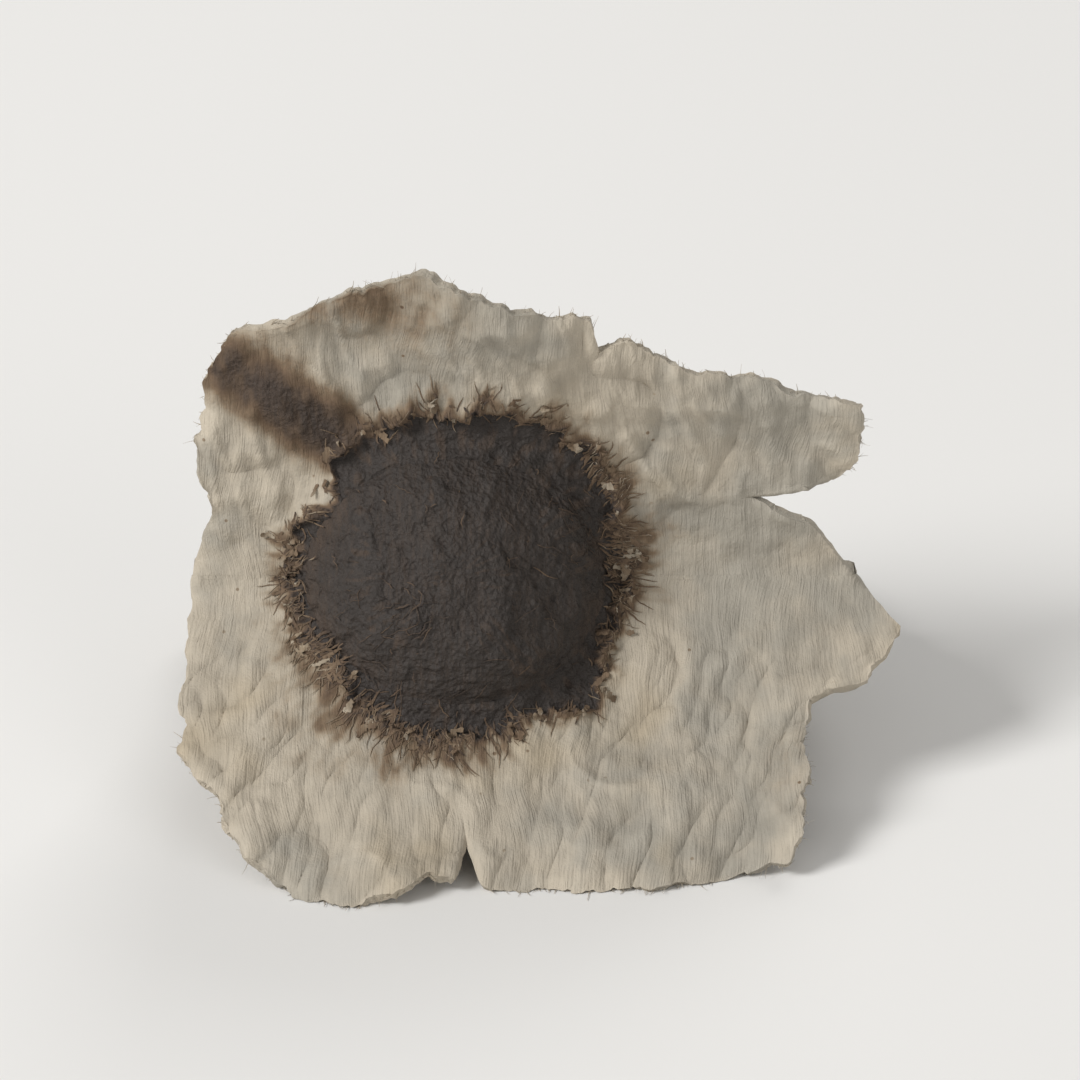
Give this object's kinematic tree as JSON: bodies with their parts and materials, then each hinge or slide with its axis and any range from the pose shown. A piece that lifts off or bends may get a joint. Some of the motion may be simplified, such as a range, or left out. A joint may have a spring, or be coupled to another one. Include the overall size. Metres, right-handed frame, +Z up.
{
  "type": "moringa seed",
  "caption": "Dry moringa seed: a dark rounded hull with papery wings along its spine, lying on the edges of its lower wings.",
  "frame": {"origin": "middle of the underside of the seed's box, on the surface that it rests on", "axes": "+X along the spine towards the pointed end of the wings, +Z up, away from the surface, and -Y towards the side that the picture shows"},
  "size_m": [0.0244, 0.0223, 0.0187],
  "materials": {
    "hull": "matte",
    "wing": "matte"
  },
  "bodies": {
    "root": {"moringa_seed": "hull"}
  },
  "joints": []
}
